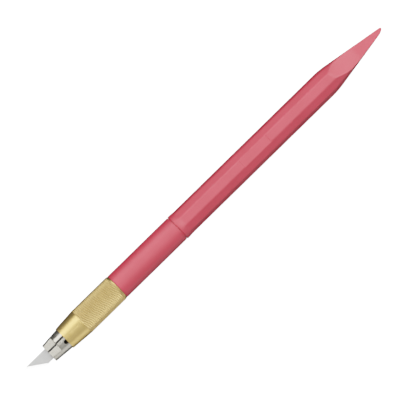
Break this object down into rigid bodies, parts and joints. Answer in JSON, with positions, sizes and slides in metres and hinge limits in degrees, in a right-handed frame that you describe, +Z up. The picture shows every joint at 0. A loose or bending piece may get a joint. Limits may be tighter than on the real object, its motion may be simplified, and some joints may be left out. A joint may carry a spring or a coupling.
{
  "type": "hobby craft knife",
  "caption": "Pen-sized craft knife: slanted art blade in a split collet, knurled brass collar, round grip, faceted handle with a thin burnishing tail.",
  "frame": {"origin": "on the table under the middle of the knife's length, with the knife lying on its collar and rim", "axes": "+X along the knife from the blade to the burnishing tail, +Y on the side of the blade's back, +Z up out of the top facet"},
  "size_m": [0.155, 0.0092, 0.0092],
  "materials": {
    "blade_steel": "fine ground steel, bright along the ground edge",
    "nickel": "satin nickel plate with fine turning marks",
    "brass": "polished pale brass cone, diamond-knurled barrel",
    "ferrule_brass": "plain turned brass",
    "rose_plastic": "satin rose-red moulded plastic"
  },
  "bodies": {
    "handle": {"ferrule": "ferrule_brass", "grip_barrel": "rose_plastic", "rear_handle": "rose_plastic"},
    "chuck": {"collet": "nickel"},
    "clamp": {"collar": "brass"},
    "cutter": {"blade": "blade_steel"}
  },
  "joints": [
    {"name": "chuck_advance", "type": "slide", "parent": "handle", "child": "chuck", "axis": [-1, 0, 0], "range_m": [0, 0.006]},
    {"name": "collar_turn", "type": "hinge", "parent": "chuck", "child": "clamp", "pos_m": [-0.0502, 0, 0.0046], "axis": [-1, 0, 0], "range_deg": [0, 2880]},
    {"name": "blade_slide", "type": "slide", "parent": "chuck", "child": "cutter", "axis": [-1, 0, 0], "range_m": [-0.001, 0.022]}
  ],
  "couplings": [
    {"joint": "collar_turn", "follows": "chuck_advance", "rad_per_m": 8377.6}
  ]
}
